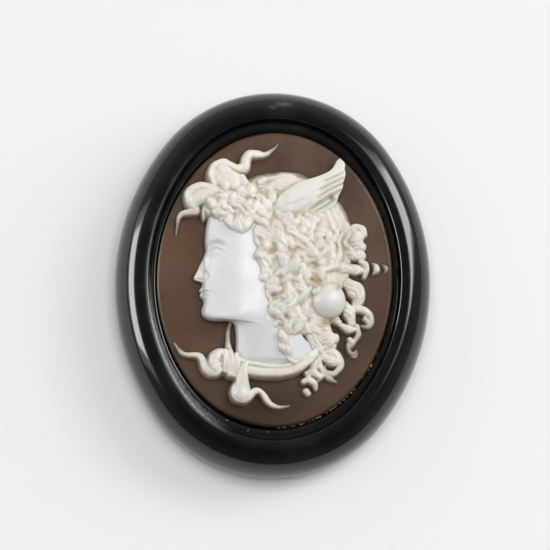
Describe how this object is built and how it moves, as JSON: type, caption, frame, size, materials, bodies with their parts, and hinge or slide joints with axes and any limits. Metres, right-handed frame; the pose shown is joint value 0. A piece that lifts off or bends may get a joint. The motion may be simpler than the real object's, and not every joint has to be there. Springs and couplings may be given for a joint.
{
  "type": "cameo brooch",
  "caption": "Oval brooch: a polished black frame with a rounded rim holds a brown and white cameo carved with a winged classical head in profile.",
  "frame": {"origin": "centre of the oval, on the plane of the frame's back", "axes": "+Z out of the cameo's face, +Y towards the crown of the carved head along the oval's long axis, +X to the right as seen from the front"},
  "size_m": [0.0404, 0.05, 0.0116],
  "materials": {
    "frame": "polished black, as jet, onyx or vulcanite is",
    "cameo_ground": "semi-polished brown stone or shell layer",
    "cameo_relief": "satin white carved layer",
    "pin_fitting": "worn gilt metal"
  },
  "bodies": {
    "root": {"frame": "frame", "cameo_ground": "cameo_ground", "cameo_relief": "cameo_relief", "pin_fitting": "pin_fitting"}
  },
  "joints": []
}
